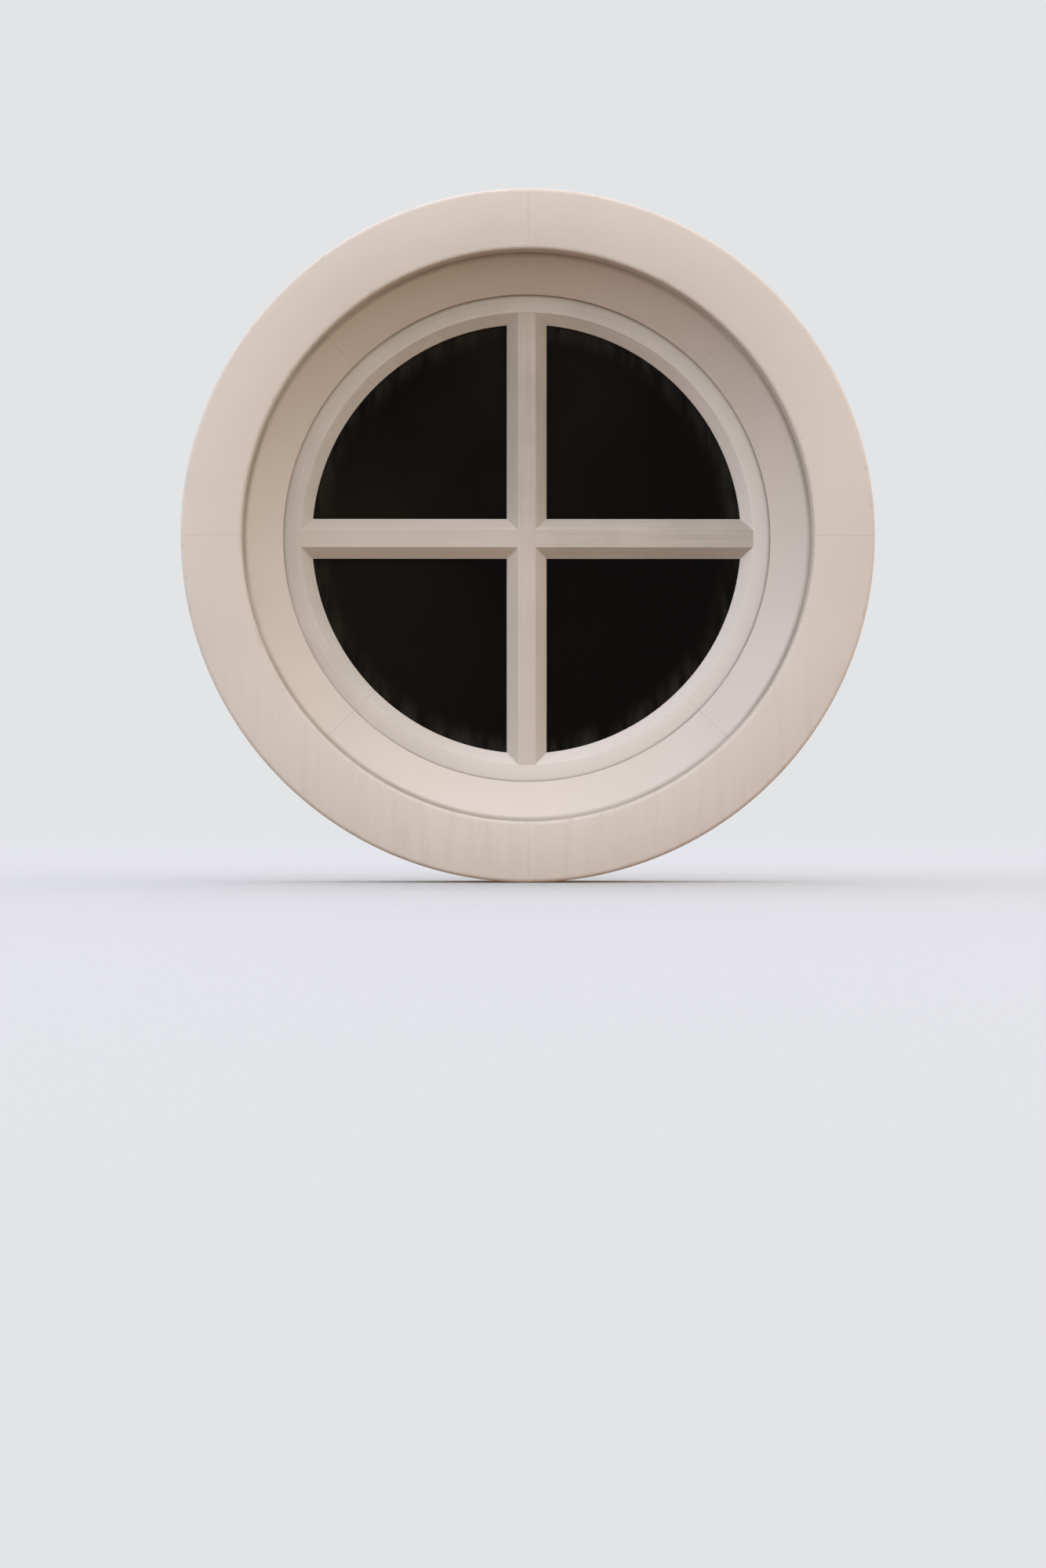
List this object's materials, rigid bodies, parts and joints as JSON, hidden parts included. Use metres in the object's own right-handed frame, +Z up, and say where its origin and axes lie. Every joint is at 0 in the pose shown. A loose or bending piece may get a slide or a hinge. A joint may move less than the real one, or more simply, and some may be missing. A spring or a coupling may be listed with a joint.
{
  "type": "round window",
  "caption": "Fixed round timber window with a splayed reveal, crossed glazing bars, double-glazed quadrants and straps for a round wall opening.",
  "frame": {"origin": "on the window's axis, in the plane of the wall's outer face, 8 mm behind the front of the face ring", "axes": "-Y points out of the wall towards the viewer, +Y into the room, +Z up, +X to the right seen from outside"},
  "size_m": [0.67, 0.206, 0.67],
  "materials": {
    "painted_timber": "warm off-white satin paint",
    "bare_timber": "bare planed softwood",
    "glass": "clear float glass",
    "spacer_aluminium": "satin",
    "edge_sealant": "matt black sealant",
    "glazing_tape": "matt closed-cell foam tape",
    "block_plastic": "moulded",
    "seal_rubber": "matt extruded",
    "pin_steel": "bright wire",
    "screw_steel": "yellow zinc plated",
    "galvanised_steel": "spangled galvanised"
  },
  "bodies": {
    "root": {"bead_curved_lower_left": "painted_timber", "bead_curved_lower_right": "painted_timber", "bead_curved_upper_left": "painted_timber", "bead_curved_upper_right": "painted_timber", "bead_level_lower_left": "painted_timber", "bead_level_lower_right": "painted_timber", "bead_level_upper_left": "painted_timber", "bead_level_upper_right": "painted_timber", "bead_pins": "pin_steel", "bead_upright_lower_left": "painted_timber", "bead_upright_lower_right": "painted_timber", "bead_upright_upper_left": "painted_timber", "bead_upright_upper_right": "painted_timber", "edge_seal_lower_left": "edge_sealant", "edge_seal_lower_right": "edge_sealant", "edge_seal_upper_left": "edge_sealant", "edge_seal_upper_right": "edge_sealant", "face_ring_lower_left": "painted_timber", "face_ring_lower_right": "painted_timber", "face_ring_tongues": "bare_timber", "face_ring_upper_left": "painted_timber", "face_ring_upper_right": "painted_timber", "fixing_strap_bottom": "galvanised_steel", "fixing_strap_left": "galvanised_steel", "fixing_strap_right": "galvanised_steel", "fixing_strap_top": "galvanised_steel", "glazing_bar_left": "painted_timber", "glazing_bar_right": "painted_timber", "glazing_bar_upright": "painted_timber", "glazing_tapes_inner": "glazing_tape", "glazing_tapes_outer": "glazing_tape", "inner_pane_lower_left": "glass", "inner_pane_lower_right": "glass", "inner_pane_upper_left": "glass", "inner_pane_upper_right": "glass", "jamb_bottom": "painted_timber", "jamb_left": "painted_timber", "jamb_right": "painted_timber", "jamb_tongues": "bare_timber", "jamb_top": "painted_timber", "outer_pane_lower_left": "glass", "outer_pane_lower_right": "glass", "outer_pane_upper_left": "glass", "outer_pane_upper_right": "glass", "ring_screws": "screw_steel", "sash_bottom": "painted_timber", "sash_left": "painted_timber", "sash_right": "painted_timber", "sash_screws": "screw_steel", "sash_tongues": "bare_timber", "sash_top": "painted_timber", "setting_blocks_bar": "block_plastic", "setting_blocks_rim": "block_plastic", "spacer_lower_left": "spacer_aluminium", "spacer_lower_right": "spacer_aluminium", "spacer_upper_left": "spacer_aluminium", "spacer_upper_right": "spacer_aluminium", "strap_screws": "screw_steel", "weather_seal": "seal_rubber"}
  },
  "joints": []
}
